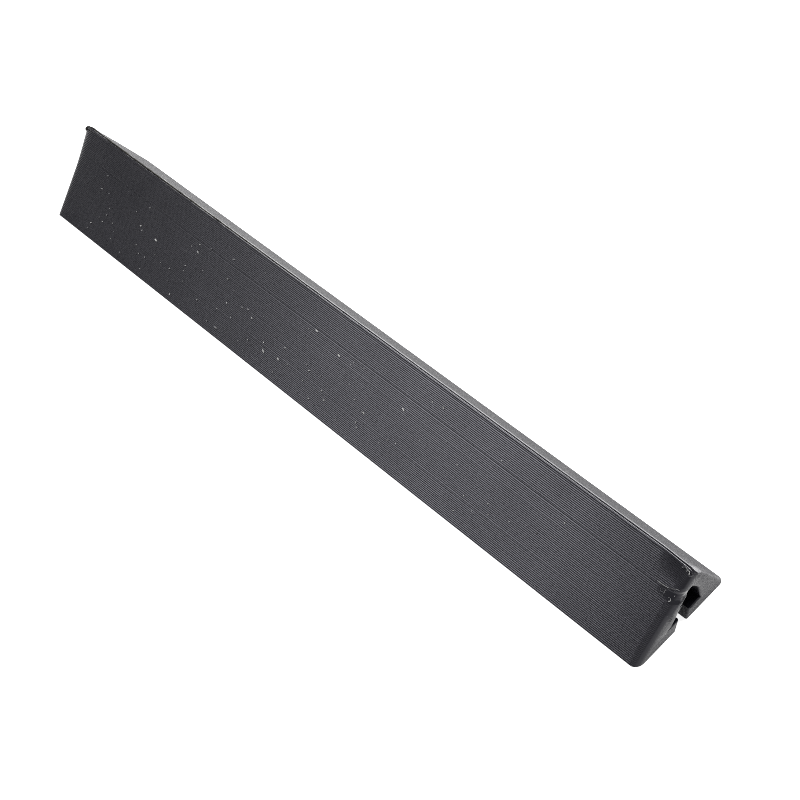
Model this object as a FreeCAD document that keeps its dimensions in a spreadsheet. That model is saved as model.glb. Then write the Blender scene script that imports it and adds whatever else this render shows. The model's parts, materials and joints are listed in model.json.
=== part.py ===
import FreeCAD, Part
import os
import Sketcher

# A short printed cable cover: a three-sided bar that stands on its base with its
# ridge up. A channel for one lead runs through it and opens downwards through a
# slot between the two feet, so that the cover is pushed over the lead.
# It is printed in one piece. The nodes are the crown and the two legs that spring
# apart when a lead goes in, divided where each leg bends.
# Frame: X along the bar, Y across it (front foot at -Y), Z up. The origin is the
# middle of the base, on the surface that the cover stands on. Millimetres.

DIMENSIONS = (
    ("length", 120.0),           # end to end
    ("base_width", 18.6),        # toe to toe
    ("peak_height", 13.1),       # where the two slopes would meet
    ("crest_width", 0.5),        # flat left along the ridge, about one printed line
    ("end_radius", 1.3),         # rounding of each slope's edge at the two ends
    ("foot_height", 2.55),       # height of the channel's floor
    ("channel_width", 7.0),      # channel at its floor
    ("shoulder_width", 4.12),    # channel where its walls turn into its roof
    ("shoulder_height", 6.64),
    ("roof_height", 9.5),        # where the two sides of the roof would meet
    ("roof_radius", 0.6),        # rounding of the roof's inner corner
    ("slot_width", 2.1),         # gap between the two feet
    ("hinge_height", 7.82),      # outer end of the line where a leg bends away
)

CREST_HEIGHT = "Dimensions.peak_height * (1 - Dimensions.crest_width / Dimensions.base_width)"
HINGE_ACROSS = "Dimensions.base_width / 2 * (1 - Dimensions.hinge_height / Dimensions.peak_height)"
SHARP_CORNER_MARGIN = 1.0        # how far the corner cutters reach outside the bar
SAME_POINT = 1e-6                # points closer than this are one point
ON_THE_LINE = 0.01               # how near an edge's middle is to the line that it lies on
START, END, CENTRE = 1, 2, 3     # the points of a sketched line or arc
FRONT, REAR = "-", "+"           # the sign of Y on each side of the bar

doc = FreeCAD.newDocument("CableCover")


def fill_sheet(rows):
    """Write the driving dimensions into the sheet, one alias to a row."""
    sheet = doc.addObject("Spreadsheet::Sheet", "Dimensions")
    for number, (alias, value) in enumerate(rows, start=1):
        sheet.set(f"A{number}", alias.replace("_", " "))
        sheet.set(f"B{number}", str(value))
        sheet.setAlias(f"B{number}", alias)
    doc.recompute()


def new_sketch(body, name, role):
    """An empty sketch on one of the body's own origin planes."""
    sketch = body.newObject("Sketcher::SketchObject", name)
    plane = next(item for item in body.Origin.OriginFeatures if item.Role == role)
    sketch.AttachmentSupport = [(plane, "")]
    sketch.MapMode = "FlatFace"
    return sketch


def number_of(sketch, formula):
    """The value of a formula, in millimetres."""
    value = sketch.evalExpression(formula)
    return getattr(value, "Value", value)


def spot(sketch, corner):
    """The sketch point of a pair of formulas."""
    across, up = corner
    return FreeCAD.Vector(number_of(sketch, across), number_of(sketch, up), 0)


def bind(sketch, kind, formula, *where):
    """Add one driving dimension and hold it at a formula."""
    value = number_of(sketch, formula)
    index = sketch.addConstraint(Sketcher.Constraint(kind, *where, value))
    sketch.setExpression(f"Constraints[{index}]", formula)


def draw_outline(sketch, corners):
    """Draw straight sides from corner to corner, and return their geometry numbers."""
    spots = [spot(sketch, corner) for corner in corners]
    sides = []
    for here, there in zip(spots, spots[1:]):
        sides.append(sketch.addGeometry(Part.LineSegment(here, there), False))
    for side, after in zip(sides, sides[1:]):
        sketch.addConstraint(Sketcher.Constraint("Coincident", side, END, after, START))
    return sides


def hold_start(sketch, side, corner):
    """Hold the first point of a side at its two formulas."""
    across, up = corner
    bind(sketch, "DistanceX", across, -1, START, side, START)
    bind(sketch, "DistanceY", up, -1, START, side, START)


def section_pad(body, corners):
    """Pad a closed section, drawn across the bar, half the length to each side."""
    sketch = new_sketch(body, body.Name + "_section", "YZ_Plane")
    sides = draw_outline(sketch, corners + corners[:1])
    sketch.addConstraint(Sketcher.Constraint("Coincident", sides[-1], END, sides[0], START))
    for side, corner in zip(sides, corners):
        hold_start(sketch, side, corner)
    pad = body.newObject("PartDesign::Pad", body.Name + "_pad")
    pad.Profile = sketch
    pad.SideType = "Symmetric"
    pad.setExpression("Length", "Dimensions.length")
    doc.recompute()
    return pad


def draw_corner_cutter(sketch, end, side):
    """Draw what is outside one rounded corner of the base, at one end of the bar."""
    half_length = f"{end}(Dimensions.length / 2"
    half_base = f"{side}(Dimensions.base_width / 2"
    inner_x = f"{half_length} - Dimensions.end_radius)"
    inner_y = f"{half_base} - Dimensions.end_radius)"
    outer_x = f"{half_length} + {SHARP_CORNER_MARGIN})"
    outer_y = f"{half_base} + {SHARP_CORNER_MARGIN})"
    corners = [(inner_x, f"{half_base})"), (inner_x, outer_y), (outer_x, outer_y),
               (outer_x, inner_y), (f"{half_length})", inner_y)]
    sides = draw_outline(sketch, corners)
    for line, corner in zip(sides, corners):
        hold_start(sketch, line, corner)
    bind(sketch, "DistanceX", corners[-1][0], -1, START, sides[-1], END)
    bind(sketch, "DistanceY", corners[-1][1], -1, START, sides[-1], END)
    centre = spot(sketch, (inner_x, inner_y))
    on_slope, on_end = spot(sketch, corners[0]), spot(sketch, corners[-1])
    radius = number_of(sketch, "Dimensions.end_radius")
    midway = centre + ((on_slope + on_end) * 0.5 - centre).normalize() * radius
    arc = sketch.addGeometry(Part.Arc(on_slope, midway, on_end), False)
    placed_start = sketch.getPoint(arc, START)
    first, last = (START, END) if placed_start.distanceToPoint(on_slope) < SAME_POINT else (END, START)
    sketch.addConstraint(Sketcher.Constraint("Coincident", arc, first, sides[0], START))
    sketch.addConstraint(Sketcher.Constraint("Coincident", arc, last, sides[-1], END))
    bind(sketch, "Radius", "Dimensions.end_radius", arc)


def round_ends(body, side):
    """Round a slope's edges at both ends: the base corners' rounding, carried up the slope."""
    before = body.Shape.Volume
    word = "front" if side == FRONT else "rear"
    sketch = new_sketch(body, f"{body.Name}_{word}_corners", "XY_Plane")
    for end in ("-", "+"):
        draw_corner_cutter(sketch, end, side)
    pocket = body.newObject("PartDesign::Pocket", f"{body.Name}_{word}_rounding")
    pocket.Profile = sketch
    pocket.UseCustomVector = True
    leaning = 1 if side == FRONT else -1
    pocket.Direction = FreeCAD.Vector(0, leaning, 1)
    pocket.setExpression("Direction.y", f"{leaning} * Dimensions.base_width / 2")
    pocket.setExpression("Direction.z", "Dimensions.peak_height")
    pocket.AlongSketchNormal = True
    pocket.setExpression("Length", "Dimensions.peak_height")
    doc.recompute()
    if not body.Shape.Volume < before:
        raise RuntimeError(f"the {word} rounding of {body.Name} cuts nothing")


def new_body(name):
    """A body whose Label is the name of its node."""
    body = doc.addObject("PartDesign::Body", name)
    body.Label = name
    body.Placement = FreeCAD.Placement()
    return body


def make_crown():
    """The ridge and the channel's roof, down to the lines where the legs bend."""
    body = new_body("crown")
    shoulder = "Dimensions.shoulder_width / 2"
    crest = "Dimensions.crest_width / 2"
    pad = section_pad(body, [
        (f"-{HINGE_ACROSS}", "Dimensions.hinge_height"),
        (f"-{shoulder}", "Dimensions.shoulder_height"),
        ("0 * Dimensions.base_width", "Dimensions.roof_height"),
        (shoulder, "Dimensions.shoulder_height"),
        (HINGE_ACROSS, "Dimensions.hinge_height"),
        (crest, CREST_HEIGHT),
        (f"-{crest}", CREST_HEIGHT),
    ])
    round_ends(body, FRONT)
    round_ends(body, REAR)
    round_roof(body)
    return body


def round_roof(body):
    """Fill the roof's inner corner, along the whole channel, to its radius."""
    base = body.Tip
    roof = number_of(doc.getObject(body.Name + "_section"), "Dimensions.roof_height")
    middle = FreeCAD.Vector(0, 0, roof)
    names = [f"Edge{number}" for number, edge in enumerate(base.Shape.Edges, start=1)
             if edge.CenterOfMass.distanceToPoint(middle) < ON_THE_LINE]
    before = body.Shape.Volume
    fillet = body.newObject("PartDesign::Fillet", body.Name + "_roof_rounding")
    fillet.Base = (base, names)
    fillet.setExpression("Radius", "Dimensions.roof_radius")
    doc.recompute()
    if not body.Shape.Volume > before:
        raise RuntimeError("the roof's rounding adds nothing")


def make_leg(name, side):
    """One side below the bend: its wall, the channel's floor and its foot."""
    body = new_body(name)

    def across(formula):
        return f"{side}({formula})"

    section_pad(body, [
        (across("Dimensions.slot_width / 2"), "0 * Dimensions.base_width"),
        (across("Dimensions.base_width / 2"), "0 * Dimensions.base_width"),
        (across(HINGE_ACROSS), "Dimensions.hinge_height"),
        (across("Dimensions.shoulder_width / 2"), "Dimensions.shoulder_height"),
        (across("Dimensions.channel_width / 2"), "Dimensions.foot_height"),
        (across("Dimensions.slot_width / 2"), "Dimensions.foot_height"),
    ])
    round_ends(body, side)
    return body


def check_document():
    """Stop if any object of the document failed to compute."""
    for item in doc.Objects:
        if "Invalid" in item.State or "Error" in item.State:
            raise RuntimeError(f"{item.Name} is {item.State}")


fill_sheet(DIMENSIONS)
bodies = [make_crown(), make_leg("front_leg", FRONT), make_leg("rear_leg", REAR)]
doc.recompute()
check_document()

for body in bodies:
    if body.Shape.isNull() or not body.Shape.isValid():
        raise RuntimeError(f"{body.Label} has no valid shape")

os.makedirs("parts", exist_ok=True)
for body in bodies:
    body.Shape.exportStep(f"parts/{body.Label}.step")
    box = body.Shape.optimalBoundingBox(False)
    print(f"{body.Label}: {len(body.Shape.Solids)} solid, {body.Shape.Volume:.1f} mm3,"
          f" x {box.XMin:.2f}..{box.XMax:.2f}, y {box.YMin:.2f}..{box.YMax:.2f},"
          f" z {box.ZMin:.2f}..{box.ZMax:.2f}")
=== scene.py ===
# %% [markdown]
# # A printed cable cover
# The object is a short three-sided bar, printed in one piece from dark filament.
# A channel for a lead runs through it and opens underneath, so the bar has two
# feet and two legs that spring apart. This lesson builds its skin around the
# finished engineering model, which gives every size and both bending lines.
# Starting from that model instead of from an empty scene means that the skin
# can be measured against it.

# %% Load the engineering model
import json
import math
import random

import bmesh
import bpy
from mathutils import Matrix, Vector, noise

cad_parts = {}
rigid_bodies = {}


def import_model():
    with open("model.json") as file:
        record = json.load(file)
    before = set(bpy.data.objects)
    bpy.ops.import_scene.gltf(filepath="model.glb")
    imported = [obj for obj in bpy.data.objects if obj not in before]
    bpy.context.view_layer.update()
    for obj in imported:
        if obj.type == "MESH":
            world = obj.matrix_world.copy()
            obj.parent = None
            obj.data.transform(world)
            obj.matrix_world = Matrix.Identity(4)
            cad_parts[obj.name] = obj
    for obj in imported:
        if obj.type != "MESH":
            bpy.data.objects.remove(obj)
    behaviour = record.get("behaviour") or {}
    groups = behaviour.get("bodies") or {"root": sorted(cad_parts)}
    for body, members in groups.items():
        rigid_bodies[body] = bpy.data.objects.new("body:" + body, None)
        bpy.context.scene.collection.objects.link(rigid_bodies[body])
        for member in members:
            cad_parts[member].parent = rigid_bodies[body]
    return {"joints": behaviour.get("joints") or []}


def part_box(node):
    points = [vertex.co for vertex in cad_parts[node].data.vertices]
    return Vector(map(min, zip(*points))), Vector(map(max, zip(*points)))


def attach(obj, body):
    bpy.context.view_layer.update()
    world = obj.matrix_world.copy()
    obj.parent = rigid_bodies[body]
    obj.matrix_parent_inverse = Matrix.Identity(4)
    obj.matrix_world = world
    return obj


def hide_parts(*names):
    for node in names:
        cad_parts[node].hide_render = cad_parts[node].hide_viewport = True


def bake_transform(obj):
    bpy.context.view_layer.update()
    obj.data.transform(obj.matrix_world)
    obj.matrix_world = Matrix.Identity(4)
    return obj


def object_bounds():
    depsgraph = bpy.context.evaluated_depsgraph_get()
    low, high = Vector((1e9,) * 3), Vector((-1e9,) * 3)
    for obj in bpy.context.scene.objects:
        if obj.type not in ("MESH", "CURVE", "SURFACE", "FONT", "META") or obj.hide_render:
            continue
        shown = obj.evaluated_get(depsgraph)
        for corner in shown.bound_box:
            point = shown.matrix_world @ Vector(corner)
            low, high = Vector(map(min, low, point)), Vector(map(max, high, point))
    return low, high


MM = 0.001

for item in list(bpy.data.objects):
    bpy.data.objects.remove(item)
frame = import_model()
cad_low, cad_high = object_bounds()
print("engineering model:", tuple(round(size / MM, 2) for size in cad_high - cad_low), "mm")

# %% [markdown]
# ## The sizes of the section
# A section is easiest to keep right when it is read from the model that it has
# to fit. The boxes of the nodes give the base, the crest, the slot and the
# shoulder, and the hinges give the slope. Only the channel's floor and the top
# of its roof are hidden inside those boxes, so they are written down here.

# %% Read the section from the frame
half_length = cad_high.x
half_base = cad_high.y
crest_height = cad_high.z
crown_low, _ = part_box("crown")
_, leg_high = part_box("front_leg")
hinges = {joint["child"]: Vector(joint["pos_m"]) for joint in frame["joints"]}
bend_line = hinges["rear_leg"]
slope = bend_line.z / (half_base - bend_line.y)
peak_height = half_base * slope
half_slot = -leg_high.y
shoulder_height = crown_low.z
FLOOR_HEIGHT = 2.55 * MM
HALF_CHANNEL = 3.5 * MM
HALF_SHOULDER = 2.06 * MM
ROOF_HEIGHT = 9.5 * MM
print("slope:", round(math.degrees(math.atan(slope)), 1), "degrees, sharp peak at",
      round(peak_height / MM, 2), "mm")

# %% [markdown]
# ## The camera
# The bar is long and thin, so it is looked at along a diagonal from well above.
# A camera can be placed by its location and rotation, but those six numbers say
# little to a reader. Giving it an aim, a distance and three angles keeps each of
# them readable, and a long lens with no shift leaves every other view centred.

# %% Place the camera
VIEW_AZIMUTH = math.radians(44.53)
VIEW_ELEVATION = math.radians(50.97)
VIEW_ROLL = math.radians(-0.42)
VIEW_DISTANCE = 202.3 * MM
VIEW_AIM = Vector((7.92, 1.51, 0.0)) * MM
LENS = 62.34
NEAREST = 10 * MM
FARTHEST = 5.0


def make_camera():
    """Look at the aim from its azimuth and elevation, then roll about the line of sight."""
    data = bpy.data.cameras.new("camera")
    data.lens = LENS
    data.clip_start = NEAREST
    data.clip_end = FARTHEST
    camera = bpy.data.objects.new("camera", data)
    bpy.context.scene.collection.objects.link(camera)
    flat = math.cos(VIEW_ELEVATION)
    back = Vector((math.sin(VIEW_AZIMUTH) * flat, -math.cos(VIEW_AZIMUTH) * flat,
                   math.sin(VIEW_ELEVATION)))
    turn = back.to_track_quat("Z", "Y").to_matrix() @ Matrix.Rotation(VIEW_ROLL, 3, "Z")
    camera.matrix_world = Matrix.Translation(VIEW_AIM + back * VIEW_DISTANCE) @ turn.to_4x4()
    bpy.context.scene.camera = camera
    return camera


camera = make_camera()
print("camera at", tuple(round(part / MM, 1) for part in camera.location), "mm")

# %% [markdown]
# ## The plain bar
# A prism can be padded from its section, lofted, or carved from a block. Here
# the section is drawn once as a face and extruded, because every printed layer
# of the bar shares it, and all the roundings can then be bevelled on one solid.

# %% Draw the section and extrude it


def section_points():
    """The section's corners, anticlockwise as seen from the right-hand end."""
    outside = [(half_slot, 0), (half_base, 0), (0, peak_height)]
    inside = [(half_slot, FLOOR_HEIGHT), (HALF_CHANNEL, FLOOR_HEIGHT),
              (HALF_SHOULDER, shoulder_height), (0, ROOF_HEIGHT)]
    outside += [(-across, up) for across, up in reversed(outside[:2])]
    inside = [(-across, up) for across, up in inside] + inside[-2::-1]
    return outside + inside


def plain_bar():
    """The whole bar as one closed solid with flat faces."""
    bm = bmesh.new()
    corners = [bm.verts.new((-half_length, across, up)) for across, up in section_points()]
    section = bm.faces.new(corners)
    grown = bmesh.ops.extrude_face_region(bm, geom=[section])
    moved = [item for item in grown["geom"] if isinstance(item, bmesh.types.BMVert)]
    bmesh.ops.translate(bm, verts=moved, vec=(2 * half_length, 0, 0))
    bmesh.ops.recalc_face_normals(bm, faces=bm.faces)
    return bm


bar = plain_bar()
print("section corners:", len(section_points()), "volume:", round(bar.calc_volume() / MM ** 3), "mm3")

# %% [markdown]
# ## Rounded edges
# A nozzle can't turn a sharp corner, so the corners of every printed loop come
# out round, and on this bar the right-hand end is rounder than the left. The
# edges are found by where they lie rather than by their numbers, which change
# with every bevel, and each group gets the radius that it has on the real bar.

# %% Find the edges
NEAR = 1e-6


def edges_where(bm, test):
    """The edges whose two ends both pass a test of a point."""
    return [edge for edge in bm.edges if all(test(vert.co) for vert in edge.verts)]


def end_edges_where(bm, test):
    """The same, but only for edges that lie in one of the bar's two end faces."""
    found = edges_where(bm, lambda point: abs(abs(point.x) - half_length) < NEAR and test(point))
    return [edge for edge in found if edge.calc_length() < half_length]


def facing(edges, side):
    """The edges among some that lie at the front (-1) or the rear (1)."""
    return [edge for edge in edges if side * (edge.verts[0].co.y + edge.verts[1].co.y) > 0]


def at_end(edges, end):
    """The edges among some that lie at the left-hand (-1) or the right-hand (1) end."""
    return [edge for edge in edges if end * edge.verts[0].co.x > 0]


def on_a_slope(point):
    """Whether a point lies on the front or the rear slope."""
    return abs(abs(point.y) + point.z / slope - half_base) < NEAR


def in_the_slot(point):
    """Whether a point lies on a wall of the slot, between the two feet."""
    return abs(abs(point.y) - half_slot) < NEAR and point.z < FLOOR_HEIGHT + NEAR


def in_the_mouth(point):
    """Whether a point lies on the channel's outline between its floor and its roof."""
    return abs(point.y) < HALF_CHANNEL + NEAR and FLOOR_HEIGHT - NEAR < point.z < ROOF_HEIGHT


def at_the_roof(point):
    """Whether a point lies on the corner at the top of the channel."""
    return abs(point.y) < NEAR and abs(point.z - ROOF_HEIGHT) < NEAR


print("edges on the slopes' ends:", len(end_edges_where(bar, on_a_slope)),
      "in the slot's:", len(end_edges_where(bar, in_the_slot)),
      "in the mouth's:", len(end_edges_where(bar, in_the_mouth)))

# %% Round what the print rounds
ROOF_RADIUS = 0.6 * MM
FRONT_LIP_RADIUS = 0.42 * MM
REAR_LIP_RADIUS = 0.22 * MM
MOUTH_RADIUS = 0.22 * MM
LEFT_END_RADIUS = 0.70 * MM
FRONT_RIGHT_END_RADIUS = 1.2 * MM
REAR_RIGHT_END_RADIUS = 0.75 * MM


def round_edges(bm, edges, radius, segments):
    """Bevel edges to a radius."""
    bmesh.ops.bevel(bm, geom=edges, offset=radius, offset_type="OFFSET", segments=segments,
                    profile=0.5, affect="EDGES", material=-1, clamp_overlap=False)


roof_turn = math.atan2(ROOF_HEIGHT - shoulder_height, HALF_SHOULDER)
round_edges(bar, edges_where(bar, at_the_roof), ROOF_RADIUS * math.tan(roof_turn), segments=6)
for side, radius, segments in ((-1, FRONT_LIP_RADIUS, 5), (1, REAR_LIP_RADIUS, 3)):
    round_edges(bar, facing(end_edges_where(bar, in_the_slot), side), radius, segments)
round_edges(bar, end_edges_where(bar, in_the_mouth), MOUTH_RADIUS, segments=2)
round_edges(bar, at_end(end_edges_where(bar, on_a_slope), -1), LEFT_END_RADIUS, segments=5)
for side, radius, segments in ((-1, FRONT_RIGHT_END_RADIUS, 6), (1, REAR_RIGHT_END_RADIUS, 5)):
    right_hand = at_end(end_edges_where(bar, on_a_slope), 1)
    round_edges(bar, facing(right_hand, side), radius, segments)
print("open edges:", sum(not edge.is_manifold for edge in bar.edges),
      "volume:", round(bar.calc_volume() / MM ** 3), "mm3")

# %% [markdown]
# ## Two halves
# The two legs bend away from the crown, each about its own line, and one skin
# can only bend across one line. The bar is therefore split down its middle
# plane, where nothing moves, into a front and a rear skin. Cutting with a plane
# and filling the cut keeps each half closed.

# %% Cut off the crest and split the bar
CUT_MISS = NEAR * 0.01


def cut_away(bm, point, normal):
    """Remove what lies beyond a plane and close the cut."""
    everything = bm.verts[:] + bm.edges[:] + bm.faces[:]
    cut = bmesh.ops.bisect_plane(bm, geom=everything, dist=CUT_MISS, plane_co=point,
                                 plane_no=normal, clear_outer=True)
    rim = [item for item in cut["geom_cut"] if isinstance(item, bmesh.types.BMEdge)]
    bmesh.ops.edgeloop_fill(bm, edges=rim)


def half_bar(side):
    """The half of the bar at the front (-1) or the rear (1)."""
    bm = bar.copy()
    cut_away(bm, (0, 0, 0), (0, -side, 0))
    return bm


cut_away(bar, (0, 0, crest_height), (0, 0, 1))
front, rear = half_bar(-1), half_bar(1)
for name, half in (("front", front), ("rear", rear)):
    print(name, "half:", len(half.faces), "faces, open edges:",
          sum(not edge.is_manifold for edge in half.edges),
          "volume:", round(half.calc_volume() / MM ** 3), "mm3")

# %% [markdown]
# ## Printed layers
# A print is a stack of flat loops of plastic. Each loop bulges at its side and
# is pinched where it meets the next, and on a slope every loop also steps in, so
# that its top shows as a narrow ledge. A bump map can fake the lines, but the
# ledges catch light from above and cast real shade, so they are cut as geometry:
# a plane at every joint and at a few heights between, and then the cut loops are
# pushed in or out. The bar is also cut along its length, finely near the
# right-hand end where the slope has a scar, so that a loop can waver as it goes.

# %% Cut the layers
LAYER_COUNT = 60
layer = crest_height / LAYER_COUNT
# Height within a layer, and how many mm the bead there stands behind its widest line.
BEAD = ((0.0, 0.080), (0.08, 0.034), (0.28, 0.006), (0.52, 0.0), (0.70, 0.008), (0.83, 0.026))
BODY_END = half_length - 1.6 * MM
FINE_START = half_length - 9 * MM
COARSE_CUTS = 88
FINE_CUTS = 20


def slice_across(bm, axis, places):
    """Cut every face that crosses a plane square to an axis, at each place along it."""
    for place in places:
        point, normal = [0, 0, 0], [0, 0, 0]
        point[axis], normal[axis] = place, 1
        everything = bm.verts[:] + bm.edges[:] + bm.faces[:]
        bmesh.ops.bisect_plane(bm, geom=everything, dist=CUT_MISS, plane_co=point, plane_no=normal)


def divide_length(bm, start, end, cuts):
    """Divide the edges that run the whole way from one place to another along the bar."""
    long_edges = []
    for edge in bm.edges:
        ends = sorted(vert.co.x for vert in edge.verts)
        if abs(ends[0] - start) < NEAR and abs(ends[1] - end) < NEAR:
            long_edges.append(edge)
    bmesh.ops.subdivide_edges(bm, edges=long_edges, cuts=cuts, use_grid_fill=True)


def cut_layers(bm):
    """Cut a half at every ring of every layer, and then along its length."""
    rings = [(number + part) * layer for number in range(LAYER_COUNT) for part, _ in BEAD]
    slice_across(bm, 2, rings[1:])
    slice_across(bm, 0, (-BODY_END, FINE_START, BODY_END))
    divide_length(bm, -BODY_END, FINE_START, COARSE_CUTS)
    divide_length(bm, FINE_START, BODY_END, FINE_CUTS)


for name, half in (("front", front), ("rear", rear)):
    cut_layers(half)
    print(name, "half:", len(half.faces), "faces, open edges:",
          sum(not edge.is_manifold for edge in half.edges))

# %% [markdown]
# ## The shape of one loop
# A ring of the mesh knows only its height. From that follows its layer, its
# place within the layer, how far the round bead stands back there, and how far
# the layer's straight side has left the slope that it steps along. Working it
# out from the height keeps every loop alike before the print's errors are added.

# %% Shape a bead
# A ring that rounding has put this little below a joint still counts as above it.
PART_OF_A_LAYER = 0.01


def limited(value):
    """A value held between 0 and 1."""
    return max(0.0, min(1.0, value))


def chance_at(*place):
    """Smooth noise from -1 to 1 at a place, the same on every run."""
    return noise.noise(Vector(place))


def bead_shift(height, lean):
    """How far the side stands out at a height. lean is the slope's step per layer."""
    turn = height / layer
    number = math.floor(turn + PART_OF_A_LAYER)
    part = turn - number
    depth = min(BEAD, key=lambda ring: abs(ring[0] - part))[1]
    return (part - 0.5) * lean - depth * MM, number


print("a bead is", round(max(depth for _, depth in BEAD), 3), "mm deep in a layer of",
      round(layer / MM, 4), "mm")

# %% [markdown]
# ## What went wrong in the print
# Three faults give this bar its character. The loops just under the crest are
# ruffled on the left, as happens when small top layers have no time to cool. On
# the front, a patch over the channel's roof slumped near the right-hand end. And
# the crest itself crept: its left end leans out over the end face and its right
# end droops. Sculpting would do, but rules of place can be read and changed.

# %% Ruffle the loops and slump the patch
# The ruffles begin at a height and at a place, and grow upwards and to the left.
RUFFLE_FOOT = 10.9 * MM
RUFFLE_RISE = 1.2 * MM
RUFFLE_START = -10 * MM
RUFFLE_RUN = 25 * MM
# The middle of the patch, its half length and half height, and how steep its rim is.
SLUMP = Vector((half_length - 0.9 * MM, 0, ROOF_HEIGHT - 0.5 * MM))
SLUMP_REACH = (2.1 * MM, 0.80 * MM)
SLUMP_STEEPNESS = 2.5


def slump_at(point):
    """How far a point lies inside the slumped patch, from 0 to 1."""
    away = math.hypot((point.x - SLUMP.x) / SLUMP_REACH[0], (point.z - SLUMP.z) / SLUMP_REACH[1])
    return limited(SLUMP_STEEPNESS * (1 - away))


def ruffled(point):
    """How far the loops just under the crest are ruffled, from 0 to 1, most at the left."""
    under_crest = limited((point.z - RUFFLE_FOOT) / RUFFLE_RISE)
    at_left = limited((RUFFLE_START - point.x) / RUFFLE_RUN)
    return under_crest * at_left


print("slumped patch:", sum(slump_at(vert.co) > 0 for vert in front.verts), "vertices of the front")

# %% Let the crest's ends creep
# How far each end leans out or sags, along what length, the height at which that
# begins, how high it grows to its full size, and how sharply it curves.
LEFT_LEAN = 0.85 * MM
LEFT_SAG = 0.40 * MM
LEFT_LENGTH = 2.5 * MM
LEFT_FOOT = 7 * MM
LEFT_RISE = 5.7 * MM
LEFT_CURVE = 1.3
RIGHT_SAG = 0.60 * MM
RIGHT_LENGTH = 5 * MM
RIGHT_FOOT = 10.2 * MM
RIGHT_RISE = 2.5 * MM
RIGHT_CURVE = 1.4
# The front wall of the channel's mouth carries a wavy rim that was pushed outwards.
RIM_OUT = 0.16 * MM
RIM_DEPTH = 0.3 * MM
RIM_FROM = -3.8 * MM
RIM_TO = -1.9 * MM
RIM_FADE = 5
RIM_WAVES_PER_MM = 0.9
RIM_UNEVENNESS = 0.5
RIM_SEED = 3.3


def rim_wave(point):
    """How far the mouth's rim is pushed out at a point."""
    if point.x <= half_length - RIM_DEPTH or not RIM_FROM < point.y < RIM_TO:
        return 0.0
    up = (point.z - FLOOR_HEIGHT) / (ROOF_HEIGHT - FLOOR_HEIGHT)
    if not 0 < up < 1:
        return 0.0
    wave = 1 + RIM_UNEVENNESS * chance_at(point.z / MM * RIM_WAVES_PER_MM, RIM_SEED, 0)
    return RIM_OUT * wave * min(1, RIM_FADE * up, RIM_FADE * (1 - up))


def end_creep(point):
    """The move of a point near the bar's ends: a lean, a droop and the mouth's rim."""
    move = Vector((0, 0, 0))
    left = max(0.0, 1 - (point.x + half_length) / LEFT_LENGTH)
    high = limited((point.z - LEFT_FOOT) / LEFT_RISE)
    move.x -= LEFT_LEAN * left * high ** LEFT_CURVE
    move.z -= LEFT_SAG * left ** 2 * high
    right = max(0.0, (point.x - half_length + RIGHT_LENGTH) / RIGHT_LENGTH)
    top = limited((point.z - RIGHT_FOOT) / RIGHT_RISE)
    move.z -= RIGHT_SAG * right ** RIGHT_CURVE * top
    move.x += rim_wave(point)
    return move


left_apex = Vector((-half_length, 0, crest_height))
print("the left apex moves by", tuple(round(part / MM, 2) for part in end_creep(left_apex)), "mm")

# %% [markdown]
# ## Push the rings in and out
# Every ring is now moved sideways along its own outward direction, never up or
# down, because a printer errs in the plane of its bed. Each loop wavers a little
# along its length and sits a little in or out as a whole, a few by enough to
# show as a line, and the beads fade out where a loop turns one of the corners.
# The creep of the crest's ends comes last, because it carries whole loops along.

# %% Let the loops stray
WANDER = 0.007 * MM
WANDER_LENGTH = 9 * MM
LOOP_WANDER = 0.010 * MM
# Steps that take each loop and each side to a stretch of noise of its own.
LOOP_STEPS = (5.3, 7.31)
SIDE_STEPS = (3.7, 11.0)
# Loops laid a little too far in (minus) or out, in mm, counted from the floor.
STRAY_LOOPS = {15: 0.015, 27: -0.015, 36: 0.018, 43: -0.038, 44: 0.015, 58: -0.020}
RUFFLE = 0.035 * MM
RUFFLE_LENGTH = 1.9 * MM


def loop_error(point, side, number):
    """How far a loop strays from its place at a point."""
    shift = WANDER * chance_at(point.x / WANDER_LENGTH, side * SIDE_STEPS[0], number * LOOP_STEPS[0])
    shift += LOOP_WANDER * chance_at(number * LOOP_STEPS[1], side * SIDE_STEPS[1], 0.5)
    if on_a_slope(point):
        shift += STRAY_LOOPS.get(number, 0) * MM
        shift += RUFFLE * ruffled(point) * noise.noise(point / RUFFLE_LENGTH)
    return shift


print("a loop strays by up to", round((WANDER + LOOP_WANDER) / MM, 3), "mm,",
      len(STRAY_LOOPS), "loops by more")

# %% Print the surface
SLUMP_DEPTH = 0.14 * MM
# How fast the beads fade as a loop turns a corner, on each side.
CALM = {-1: 4.0, 1: 1.3}
# Where less than this share of a normal points sideways, no loop shows its side.
LEAST_SIDEWAYS = 0.3
# Nearly level faces would step in without limit, so the step stops at this many layers.
MOST_LEAN = 1.2


def loop_lean(normal):
    """How far the surface steps in over one layer."""
    flat = math.hypot(normal.x, normal.y)
    return layer * max(-MOST_LEAN, min(MOST_LEAN, normal.z / max(LEAST_SIDEWAYS, flat)))


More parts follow.
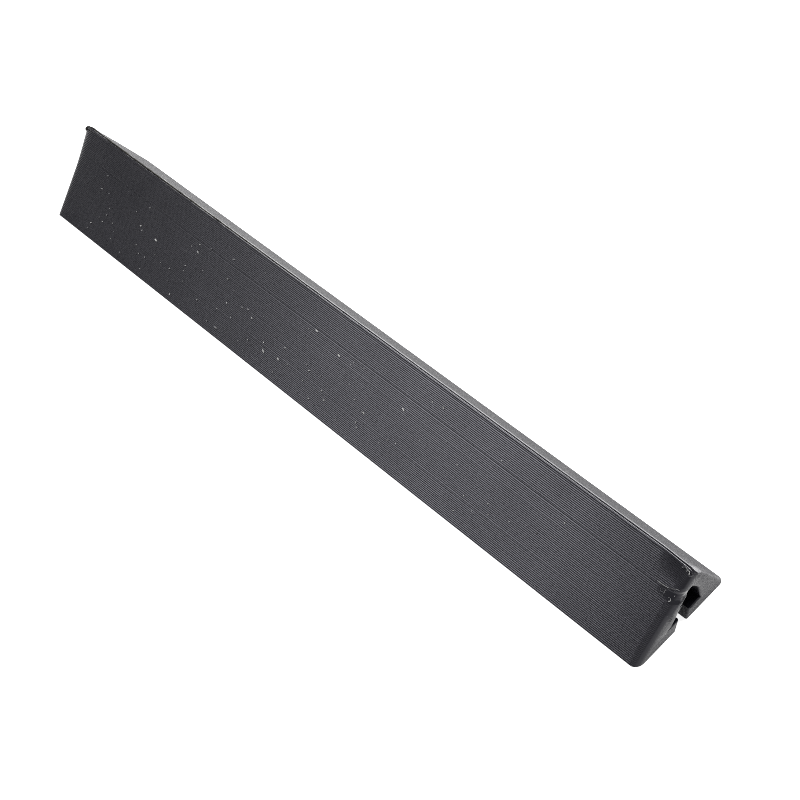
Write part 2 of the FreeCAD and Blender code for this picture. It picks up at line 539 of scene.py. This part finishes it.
def print_surface(bm, side):
    """Give every loop its bead, its ledge and its own small errors."""
    bm.normal_update()
    moves = []
    for vert in bm.verts:
        sideways = Vector((vert.normal.x, vert.normal.y, 0))
        if sideways.length < LEAST_SIDEWAYS:
            continue
        sideways.normalize()
        shift, number = bead_shift(vert.co.z, loop_lean(vert.normal))
        shift += loop_error(vert.co, side, number)
        shift *= max(0, 1 - CALM[side] * abs(sideways.x * sideways.y))
        if side < 0:
            slumped = slump_at(vert.co)
            shift = shift * (1 - slumped) - SLUMP_DEPTH * slumped
        moves.append((vert, sideways * shift))
    for vert, move in moves:
        if abs(vert.co.y) < NEAR:
            move.y = 0
        vert.co += move
    for vert in bm.verts:
        vert.co += end_creep(vert.co)
    return max(move.length for _, move in moves)


for half, side in ((front, -1), (rear, 1)):
    farthest = print_surface(half, side)
    print("side", side, "largest move:", round(farthest / MM, 3), "mm")

# %% [markdown]
# ## Turn the halves into pieces
# Each half becomes one object that stands for the nodes it covers. A skin for
# each node would show a seam across the slope, where the real print has none, so
# one mesh runs over crown and leg. Its beads are shaded round, and only the
# pinched joints between them, which turn sharply, are kept as creases.

# %% Make the two skins
SHARP = math.radians(62)


def keep_mesh(bm, name):
    """Store a finished mesh as an object at the origin."""
    mesh = bpy.data.meshes.new(name)
    bm.to_mesh(mesh)
    bm.free()
    piece = bpy.data.objects.new(name, mesh)
    bpy.context.scene.collection.objects.link(piece)
    return piece


skins = {}
for name, half, leg in (("front_skin", front, "front_leg"), ("rear_skin", rear, "rear_leg")):
    skin = keep_mesh(half, name)
    skin.data.shade_smooth()
    skin.data.set_sharp_from_angle(angle=SHARP)
    skins[leg] = skin
    print(name, len(skin.data.polygons), "faces")

# %% [markdown]
# ## Dark printed plastic
# The filament is nearly black with a breath of blue, and it shines like hard
# candy: what one sees of it is mostly its reflections. Its colour is therefore
# kept very low and the look comes from the sheen, which varies in patches, from
# loops that differ a little from each other, and from a grain too fine to model.
# A painted texture would smear along the bar, while noise on the object's own
# coordinates runs through the solid and fits every face.

# %% Start a material
DARK = (0.0016, 0.0015, 0.0026, 1)
WORN = (0.0048, 0.0046, 0.0066, 1)
SHEEN_TINT = (0.91, 0.905, 1.0, 1)
# Patches of colour in a metre: long ones along and across the bar, and one to each layer.
LOOP_PATCHES = (60.0, 60.0, 1 / layer)


def start_material(name):
    """A new material with its node tree, its shader and the object's own coordinates."""
    material = bpy.data.materials.new(name)
    material.use_nodes = True
    tree = material.node_tree
    place = tree.nodes.new("ShaderNodeTexCoord").outputs["Object"]
    return material, tree, tree.nodes["Principled BSDF"], place


def add(tree, kind, **values):
    """Add a node and set its sockets by name."""
    node = tree.nodes.new(kind)
    for name, value in values.items():
        node.inputs[name.replace("_", " ")].default_value = value
    return node


def add_noise(tree, place, **values):
    """Add a noise texture that reads a place, and give its strength."""
    texture = add(tree, "ShaderNodeTexNoise", **values)
    tree.links.new(place, texture.inputs["Vector"])
    return texture.outputs["Fac"]


def set_roughness(tree, shader, pattern, **values):
    """Let a pattern set how rough the surface is."""
    rough = add(tree, "ShaderNodeMapRange", **values)
    tree.links.new(pattern, rough.inputs["Value"])
    tree.links.new(rough.outputs["Result"], shader.inputs["Roughness"])


def set_bump(tree, shader, pattern, **values):
    """Let a pattern dent the surface."""
    bump = add(tree, "ShaderNodeBump", **values)
    tree.links.new(pattern, bump.inputs["Height"])
    tree.links.new(bump.outputs["Normal"], shader.inputs["Normal"])


print("a loop's patch of colour is", round(layer / MM, 3), "mm high")

# %% Make the plastic


def printed_plastic():
    """Dark filament: patches of sheen, loops that differ a little, and a fine grain."""
    material, tree, shader, place = start_material("printed_plastic")
    shader.inputs["Specular IOR Level"].default_value = 0.31
    shader.inputs["Specular Tint"].default_value = SHEEN_TINT
    along = add(tree, "ShaderNodeMapping", Scale=LOOP_PATCHES)
    tree.links.new(place, along.inputs["Vector"])
    loops = add_noise(tree, along.outputs["Vector"], Scale=1.0, Detail=1.0)
    colour = tree.nodes.new("ShaderNodeMix")
    colour.data_type = "RGBA"
    colour.inputs["A"].default_value = DARK
    colour.inputs["B"].default_value = WORN
    tree.links.new(loops, colour.inputs["Factor"])
    tree.links.new(colour.outputs["Result"], shader.inputs["Base Color"])
    patches = add_noise(tree, place, Scale=90.0, Detail=3.0)
    set_roughness(tree, shader, patches, From_Min=0.3, From_Max=0.7, To_Min=0.19, To_Max=0.28)
    grain = add_noise(tree, place, Scale=5000.0, Detail=2.0)
    set_bump(tree, shader, grain, Strength=0.05, Distance=0.010 * MM)
    return material


plastic = printed_plastic()
for skin in skins.values():
    skin.data.materials.append(plastic)
print("plastic:", len(plastic.node_tree.nodes), "nodes on", len(skins), "skins")

# %% [markdown]
# ## Put the skins in place of the frame
# Each skin takes the place of its leg and of the crown, so that the engineering
# nodes under it aren't shown as well. Each skin's placement is baked into its
# mesh.


def bend_with(piece):
    """Bake the piece's placement into its mesh."""
    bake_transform(piece)


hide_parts("front_leg", "crown")
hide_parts("rear_leg", "crown")
for leg, skin in skins.items():
    bend_with(skin)

# %% [markdown]
# ## The crest
# The last layer of a peak has room for only two passes of the nozzle, side by
# side. They stand up as two thin rounded beads with a groove between them, and
# the plastic that is dragged along as the nozzle stops curls up at both ends.
# A bevelled curve could be swept along the crest, but a closed bar whose rings
# are moved one by one can also swell, curl and creep with the skin under it.

# %% Make a round bar
BAR_SIDES = 10
# How far a tip's cap is drawn in and out, as shares of the radius.
TIP_INSET = 0.35
TIP_OUT = 0.45
# An edge longer than this share of the bar runs its whole length.
MOST_OF_IT = 0.9


def round_bar(start, end, radius, cuts):
    """A closed round bar along the length with rounded tips."""
    bm = bmesh.new()
    turn = Matrix.Translation(((start + end) / 2, 0, 0)) @ Matrix.Rotation(math.pi / 2, 4, "Y")
    bmesh.ops.create_cone(bm, cap_ends=True, segments=BAR_SIDES, radius1=radius, radius2=radius,
                          depth=end - start, matrix=turn)
    caps = [face for face in bm.faces if len(face.verts) == BAR_SIDES]
    bmesh.ops.inset_individual(bm, faces=caps, thickness=radius * TIP_INSET, depth=radius * TIP_OUT)
    sides = [edge for edge in bm.edges if edge.calc_length() > (end - start) * MOST_OF_IT]
    bmesh.ops.subdivide_edges(bm, edges=sides, cuts=cuts, use_grid_fill=True)
    return bm


def join_into(target, bm):
    """Add one mesh to another and free it."""
    loose = bpy.data.meshes.new("loose")
    bm.to_mesh(loose)
    bm.free()
    target.from_mesh(loose)
    bpy.data.meshes.remove(loose)


trial = round_bar(0, 1, 0.1, 4)
print("a round bar with 4 cuts:", len(trial.faces), "faces")
trial.free()

# %% Thin the beads towards the left
# The thickness on the left, how much it grows, and where it starts and for how long, in mm.
THIN = 0.70
THIN_GROWTH = 0.50
THIN_UNTIL = -48
THIN_RUN = 65


def thin_at_left(place):
    """How thick a bead is at a place in mm, growing smoothly from left to right."""
    turn = limited((place - THIN_UNTIL) / THIN_RUN)
    return THIN + THIN_GROWTH * turn * turn * (3 - 2 * turn)


print("thickness at the ends:", thin_at_left(-half_length / MM), thin_at_left(half_length / MM))

# %% Lay the two last beads
BEAD_RADIUS = 0.130 * MM
BEAD_SQUASH = 0.45
BEAD_GAP = 0.195 * MM
BEAD_CUTS = 260
BEAD_REACH = half_length - 0.45 * MM
# The curl at either end: its length, and how much thicker and, in mm, higher it is.
CURL_LENGTH = 3.0 * MM
LEFT_CURL_LENGTH = 7.0 * MM
CURL_SWELL = 0.5
CURL_RISE = 0.10
# The very tip: its length, and how much thinner and, in mm, lower it is.
TIP_LENGTH = 0.8 * MM
TIP_SHRINK = 0.8
TIP_DROP = 0.22
# Each unevenness: how much, how many waves in a millimetre, and its own layer of noise.
SWELL = (0.18, 0.8, 0)
SIDEWAYS = (0.03 * MM, 0.35, 4)
UPWARDS = (0.02 * MM, 0.5, 8)


def uneven(kind, place, seed):
    """How large one kind of unevenness is at a place in mm."""
    amount, waves, noise_layer = kind
    return amount * chance_at(place * waves, seed, noise_layer)


def lay_crest_bead(across, lean, seed):
    """One pass along the crest, uneven along its length and curled up at its ends."""
    bm = round_bar(-BEAD_REACH, BEAD_REACH, BEAD_RADIUS, BEAD_CUTS)
    for vert in bm.verts:
        place = vert.co.x / MM
        length = LEFT_CURL_LENGTH if vert.co.x < 0 else CURL_LENGTH
        curl = max(0, 1 - (BEAD_REACH - abs(vert.co.x)) / length) ** 2
        tip = max(0, 1 - (BEAD_REACH - abs(vert.co.x)) / TIP_LENGTH) ** 2
        swell = thin_at_left(place) + uneven(SWELL, place, seed)
        swell += CURL_SWELL * curl - TIP_SHRINK * tip
        flat = Vector((0, vert.co.y, vert.co.z * (BEAD_SQUASH + (1 - BEAD_SQUASH) * curl))) * swell
        flat.rotate(Matrix.Rotation(lean, 3, "X"))
        vert.co.y = flat.y + across + uneven(SIDEWAYS, place, seed)
        vert.co.z = flat.z + crest_height + uneven(UPWARDS, place, seed)
        vert.co.z += (CURL_RISE * curl - TIP_DROP * tip) * MM
        vert.co += end_creep(vert.co)
    return bm


crest = bmesh.new()
for across, lean, seed in ((-BEAD_GAP, math.radians(14), 1.3), (BEAD_GAP, math.radians(-20), 6.1)):
    join_into(crest, lay_crest_bead(across, lean, seed))
print("two beads:", len(crest.faces), "faces")

# %% [markdown]
# ## The blobs at the crest's end
# Where the nozzle left the bar, on the right, a little plastic oozed out and
# froze in lumps down the end. A lump can be sculpted, but a ball whose points
# are pushed along their own radius by noise is quick and never twice the same.

# %% Drop the blobs
LUMPINESS = 0.35
# Takes each blob, by its place, to a stretch of noise of its own.
BLOB_STEP = 3000
# Each blob's place and radius, in mm.
CREST_BLOBS = (((58.95, -0.20, 12.20), 0.30),
               ((59.35, -0.30, 11.75), 0.34),
               ((58.30, -0.25, 12.42), 0.24))


def drop_blob(bm, place, radius, roundness=2):
    """A small lumpy blob of plastic."""
    made = bmesh.ops.create_icosphere(bm, subdivisions=roundness, radius=radius)
    for vert in made["verts"]:
        vert.co *= 1 + LUMPINESS * noise.noise(vert.co / radius + place * BLOB_STEP)
        vert.co += place


for place, radius in CREST_BLOBS:
    drop_blob(crest, Vector(place) * MM, radius * MM)
crest_bead = keep_mesh(crest, "crest_bead")
crest_bead.data.shade_smooth()
crest_bead.data.materials.append(plastic)
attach(crest_bead, "crown")
print("crest bead:", len(crest_bead.data.polygons), "faces")

# %% [markdown]
# ## The painted shade pass
# On the left a third pass lies between the two beads, nearly black and dull: its
# colour is painted shade, standing in for the shadowed groove between the beads.
# It thins out towards the middle and ends in a knob at the apex. It could be a
# darker patch in the plastic's material, but it also stands up over the beads,
# so it is a piece of its own.

# %% Lay the painted shade pass
SHADE_PASS_START = -half_length + 0.5 * MM
SHADE_PASS_END = -6 * MM
SHADE_PASS_RADIUS = 0.19 * MM
SHADE_PASS_ACROSS = 0.06 * MM
SHADE_PASS_CUTS = 140
SHADE_PASS_THINNING = 0.75
SHADE_PASS_SQUASH = 0.7
SHADE_PASS_SWELL = (0.35, 0.7, 0)
SHADE_PASS_SWELL_SEED = 2.2
SHADE_PASS_UPWARDS = (0.05 * MM, 0.5, 8)
SHADE_PASS_UPWARDS_SEED = 5.0


def lay_painted_shade_pass():
    """A third pass that lies between the two beads and thins out to the right."""
    bm = round_bar(SHADE_PASS_START, SHADE_PASS_END, SHADE_PASS_RADIUS, SHADE_PASS_CUTS)
    for vert in bm.verts:
        place = vert.co.x / MM
        turn = (vert.co.x - SHADE_PASS_START) / (SHADE_PASS_END - SHADE_PASS_START)
        thick = 1 - SHADE_PASS_THINNING * turn ** 2
        thick += uneven(SHADE_PASS_SWELL, place, SHADE_PASS_SWELL_SEED)
        vert.co.y = vert.co.y * thick + SHADE_PASS_ACROSS
        vert.co.z = vert.co.z * thick * SHADE_PASS_SQUASH + crest_height
        vert.co.z += uneven(SHADE_PASS_UPWARDS, place, SHADE_PASS_UPWARDS_SEED)
        vert.co += end_creep(vert.co)
    return bm


painted_shade_mesh = lay_painted_shade_pass()
print("scorched pass:", round((SHADE_PASS_END - SHADE_PASS_START) / MM, 1), "mm long")

# %% Add the knob
# Each lump of the knob: its place and radius, in mm.
KNOB = (((-60.20, -0.05, 12.05), 0.50),
        ((-59.60, 0.00, 12.25), 0.46),
        ((-58.90, 0.02, 12.45), 0.40),
        ((-58.10, 0.04, 12.58), 0.34),
        ((-57.20, 0.06, 12.66), 0.28),
        ((-56.30, 0.08, 12.70), 0.24))

for place, radius in KNOB:
    drop_blob(painted_shade_mesh, Vector(place) * MM, radius * MM)
painted_shade_pass = keep_mesh(painted_shade_mesh, "painted_shade_pass")
painted_shade_pass.data.shade_smooth()
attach(painted_shade_pass, "crown")
print("scorched pass with its knob:", len(painted_shade_pass.data.polygons), "faces")

# %% [markdown]
# ## Painted shade plastic
# This plastic is blacker than the filament, crusted, and hardly shines: its
# near-black is painted shade for the groove between the crest's beads. The same
# recipe serves the scraped crumbs further on: one noise pattern drives the colour
# through two stops, the roughness and the dents, so that a paler spot is also a
# rougher and a higher one, as in a crust.

# %% Make the painted shade plastic


def mottled_plastic(name, pattern, stops, roughness, dents):
    """A crusted plastic whose colour, roughness and dents follow one noise pattern."""
    material, tree, shader, place = start_material(name)
    mottle = add_noise(tree, place, **pattern)
    ramp = tree.nodes.new("ShaderNodeValToRGB")
    for element, (position, colour) in zip(ramp.color_ramp.elements, stops):
        element.position = position
        element.color = colour
    tree.links.new(mottle, ramp.inputs["Fac"])
    tree.links.new(ramp.outputs["Color"], shader.inputs["Base Color"])
    set_roughness(tree, shader, mottle, To_Min=roughness[0], To_Max=roughness[1])
    set_bump(tree, shader, mottle, Strength=dents, Distance=0.02 * MM)
    return material, shader


def painted_shade_plastic():
    """Painted shade for the crest's groove: nearly black, dull, and crusted."""
    stops = ((0.40, (0.0015, 0.0014, 0.0012, 1)), (0.70, (0.014, 0.013, 0.011, 1)))
    material, shader = mottled_plastic("painted_shade_plastic", {"Scale": 1500.0, "Detail": 3.0}, stops,
                                       roughness=(0.45, 0.75), dents=0.3)
    shader.inputs["Specular IOR Level"].default_value = 0.10
    return material


# The pass wears the near-black material, which is painted shade for the groove between the beads.
painted_shade_pass.data.materials.append(painted_shade_plastic())
print("burnt plastic on", painted_shade_pass.name)

# %% [markdown]
# ## Specks
# Crumbs of scraped plastic stick to the front slope. Particles could scatter
# them, but a plain loop with a seeded chance gives the same crumbs on every run
# and leaves one mesh. Each is a squashed ball of a few faces pressed into the
# slope, most are small, a few are drawn out, and more of them lie to the left.

# %% Find a place on the front slope


def on_front_slope(along, height, lift=0.0):
    """A point on the front slope at a place along the bar and a height."""
    outward = Vector((0, -slope, 1)).normalized()
    return Vector((along, -(half_base - height / slope), height)) + outward * lift


middle = on_front_slope(0, crest_height / 2)
print("middle of the front slope:", tuple(round(part / MM, 2) for part in middle), "mm")

# %% Scatter the specks
SPECK_COUNT = 120
SPECK_SEED = 11
# Both values of a beta distribution. The larger second one crowds the specks
# towards the start, which is the left of the bar and the foot of the slope.
ALONG_SPREAD = (1.5, 2.0)
HEIGHT_SPREAD = (1.2, 1.7)
# Where specks may lie, as shares of half the length and of the crest's height.
SPECK_REACH = 0.96
LOWEST_SPECK = 0.04
SPECK_BAND = 0.88
# The least radius and how much may be added to it, in mm.
SPECK_LEAST = 0.065
SPECK_EXTRA = 0.09
SPECK_STRETCH = 2.2
SPECK_TURN = 0.7
SPECK_FLATTEN = 0.7
SPECK_LIFT = 0.02 * MM


def scatter_specks(bm):
    """Press a seeded scatter of crumbs into the front slope."""
    chance = random.Random(SPECK_SEED)
    tilt = Matrix.Rotation(math.atan(slope), 4, "X")
    for _ in range(SPECK_COUNT):
        along = half_length * (chance.betavariate(*ALONG_SPREAD) * 2 * SPECK_REACH - SPECK_REACH)
        height = crest_height * (LOWEST_SPECK + SPECK_BAND * chance.betavariate(*HEIGHT_SPREAD))
        size = MM * (SPECK_LEAST + SPECK_EXTRA * chance.random() ** 2)
        stretch = 1 + SPECK_STRETCH * chance.random() ** 4
        shape = (Matrix.Translation(on_front_slope(along, height, SPECK_LIFT)) @ tilt
                 @ Matrix.Rotation(chance.uniform(-SPECK_TURN, SPECK_TURN), 4, "Z")
                 @ Matrix.Diagonal((size * stretch, size, size * SPECK_FLATTEN, 1)))
        bmesh.ops.create_icosphere(bm, subdivisions=1, radius=1.0, matrix=shape)


marks = bmesh.new()
scatter_specks(marks)
print("specks:", SPECK_COUNT, "with", len(marks.faces), "faces")

# %% [markdown]
# ## Stray strands
# Over the channel's roof the loops slumped near the right-hand end, and thin
# strands that came loose outline the patch. Two more curl off the crest above
# it. Each is the round bar again, laid along a curve that leaves its first
# point, bends past its second and lands on its third. Their pale grey is a
# painted highlight, where thin plastic catches the light.

# %% Bend a strand
STRAND_CUTS = 24
STRAND_THICKNESS = 0.75
STRAND_UNEVENNESS = 0.5
STRAND_WAVES = 6


def strand(start, middle, end, radius, seed):
    """A thin strand that bends past a middle point."""
    bm = round_bar(0, 1, radius, STRAND_CUTS)
    for vert in bm.verts:
        turn = vert.co.x
        place = start * (1 - turn) ** 2 + middle * 2 * turn * (1 - turn) + end * turn ** 2
        heading = (middle - start) * (1 - turn) + (end - middle) * turn
        thick = STRAND_THICKNESS + STRAND_UNEVENNESS * chance_at(turn * STRAND_WAVES, seed, 0)
        ring = Vector((0, vert.co.y, vert.co.z)) * thick
        ring.rotate(Vector((1, 0, 0)).rotation_difference(heading))
        vert.co = place + ring
    return bm


print("a strand's thickness varies from", STRAND_THICKNESS - STRAND_UNEVENNESS, "to",
      STRAND_THICKNESS + STRAND_UNEVENNESS, "of its radius")

# %% Lay the stray strands
STRAND_SEED_STEP = 3.1
STRAND_LIFT = -0.02 * MM
BLOB_LIFT = -0.03 * MM
END = half_length / MM
# Three points, each a place along the bar and a height, and then the radius, in mm.
STRANDS = (((END - 3.6, 9.58), (END - 2.0, 9.50), (END - 1.3, 9.90), 0.045),
           ((END - 1.3, 9.90), (END - 0.9, 10.15), (END - 0.6, 10.10), 0.045),
           ((END - 2.10, 9.35), (END - 2.25, 8.90), (END - 2.05, 8.50), 0.042),
           ((END - 2.05, 9.00), (END - 2.70, 8.70), (END - 2.80, 9.05), 0.035),
           ((END - 1.35, 8.80), (END - 1.05, 8.95), (END - 0.90, 8.60), 0.042),
           ((END - 1.80, 12.35), (END - 1.50, 12.80), (END - 1.10, 12.40), 0.065),
           ((END - 1.15, 12.25), (END - 0.85, 12.70), (END - 0.65, 12.15), 0.055))
# A place along the bar, a height and a radius, in mm.
SCAR_BLOBS = ((END - 1.05, 8.50, 0.10),
              (END - 1.30, 9.90, 0.08),
              (END - 2.35, 8.60, 0.07),
              (END - 0.80, 9.30, 0.07))

for number, (*line, radius) in enumerate(STRANDS):
    points = [on_front_slope(along * MM, height * MM, STRAND_LIFT) for along, height in line]
    join_into(marks, strand(*points, radius * MM, number * STRAND_SEED_STEP))
for along, height, radius in SCAR_BLOBS:
    drop_blob(marks, on_front_slope(along * MM, height * MM, BLOB_LIFT), radius * MM, roundness=1)
print("strands:", len(STRANDS), "blobs:", len(SCAR_BLOBS), "faces in all:", len(marks.faces))

# %% [markdown]
# ## Pale crumbs and painted highlights
# A crumb that has been scraped off and stuck on again is full of tiny faces, so
# it looks pale and chalky beside the glossy filament. The stray strands and
# blobs wear the same pale grey, and on them it is a painted highlight. One
# material with a pattern coarser than a crumb makes every crumb a different
# grey, which saves giving each a material of its own.

# %% Make the pale plastic, a painted highlight on the strands, and join the specks


def pale_crumbs_and_painted_highlights():
    """Pale scraped plastic, each crumb a different grey; on the strands and blobs the pale grey is a
    painted highlight.
    """
    stops = ((0.35, (0.045, 0.045, 0.05, 1)), (0.65, (0.34, 0.34, 0.33, 1)))
    return mottled_plastic("pale_crumbs_and_painted_highlights", {"Scale": 400.0, "Detail": 1.0}, stops,
                           roughness=(0.35, 0.75), dents=0.4)[0]


# The pale grey is the crumbs' own colour, and a painted highlight on the strands and blobs.
specks = keep_mesh(marks, "pale_specks")
specks.data.materials.append(pale_crumbs_and_painted_highlights())
bend_with(specks)
print("pale specks:", len(specks.data.polygons), "faces")

# %% [markdown]
# ## The floor
# The bar stands on a plain white ground with hardly a shadow. A white sheet
# under lamps would show one, and would fade towards its edges. So the sheet is
# made the way a light table is: its face is grey and returns some of the light,
# and the rest of its white comes from an even glow of its own, which a shadow
# can't darken. It lies a hair below the feet so that the two never share a plane.

# %% Lay the floor
FLOOR_SIZE = 4.0
FLOOR_GREY = (0.36, 0.36, 0.36, 1)
FLOOR_GLOW = 0.80
FLOOR_DROP = 0.02 * MM


def make_floor():
    """A wide sheet that glows evenly, part of the stage."""
    bm = bmesh.new()
    bmesh.ops.create_grid(bm, x_segments=1, y_segments=1, size=FLOOR_SIZE / 2)
    floor = keep_mesh(bm, "floor")
    material = bpy.data.materials.new("pale_floor")
    material.use_nodes = True
    shader = material.node_tree.nodes["Principled BSDF"]
    shader.inputs["Base Color"].default_value = FLOOR_GREY
    shader.inputs["Emission Color"].default_value = (1, 1, 1, 1)
    shader.inputs["Emission Strength"].default_value = FLOOR_GLOW
    shader.inputs["Roughness"].default_value = 0.9
    shader.inputs["Specular IOR Level"].default_value = 0.1
    floor.data.materials.append(material)
    floor.location.z = -FLOOR_DROP
    return floor


floor = make_floor()
print("floor:", FLOOR_SIZE, "m wide")

# %% [markdown]
# ## The light
# A dark glossy object shows the lamps rather than their light. The line box
# hangs on the left where the front slope's ledges mirror it, which draws the
# fine bright lines. The edge box, narrow and weak, carries them a little
# further. The big back box fills the mirror of the rear slope, and the fill box
# barely lifts the right-hand end. The pale surroundings, a touch blue, give the
# darkest faces their sheen.

# %% Hang the lights
WORLD_COLOUR = (0.985, 0.985, 1, 1)
WORLD_STRENGTH = 0.66
BACK_WARMTH = (1, 1, 0.96)


def make_softbox(name, place, aim, size, power, colour=(1, 1, 1)):
    """A rectangular lamp that faces its aim."""
    data = bpy.data.lights.new(name, "AREA")
    data.shape = "RECTANGLE"
    data.size, data.size_y = size
    data.energy = power
    data.color = colour
    light = bpy.data.objects.new(name, data)
    light.location = place
    light.rotation_euler = (Vector(place) - Vector(aim)).to_track_quat("Z", "Y").to_euler()
    bpy.context.scene.collection.objects.link(light)
    print(name, size, "m,", power, "W")


make_softbox("line_softbox", place=(-0.24, -0.10, 0.60), aim=(-0.24, -0.10, 0),
             size=(0.27, 0.42), power=4.4)
make_softbox("edge_softbox", place=(-0.44, -0.10, 0.60), aim=(-0.44, -0.10, 0),
             size=(0.13, 0.42), power=0.50)
make_softbox("back_softbox", place=(-0.10, 0.75, 0.36), aim=(0, 0.1, 0),
             size=(1.2, 0.5), power=40.0, colour=BACK_WARMTH)
make_softbox("fill_softbox", place=(0.60, -0.50, 0.60), aim=(0, 0, 0),
             size=(1.0, 1.0), power=0.5)
world = bpy.data.worlds.new("studio")
world.use_nodes = True
surroundings = world.node_tree.nodes["Background"]
surroundings.inputs["Color"].default_value = WORLD_COLOUR
surroundings.inputs["Strength"].default_value = WORLD_STRENGTH
bpy.context.scene.world = world

# %% [markdown]
# ## Keep the fine lines
# The ledges are about as fine as a picture of the whole bar can hold. A
# denoiser takes them for grain and wipes them out, and a wide filter blends
# each line with the next, so the one is switched off and the other narrowed.
# The Standard view shows the floor's white as white and leaves contrast alone.

# %% Set the view
LINE_FILTER = 1.0
scene = bpy.context.scene
scene.view_settings.view_transform = "Standard"
scene.cycles.use_denoising = False
scene.cycles.filter_width = LINE_FILTER
print("filter width:", scene.cycles.filter_width)
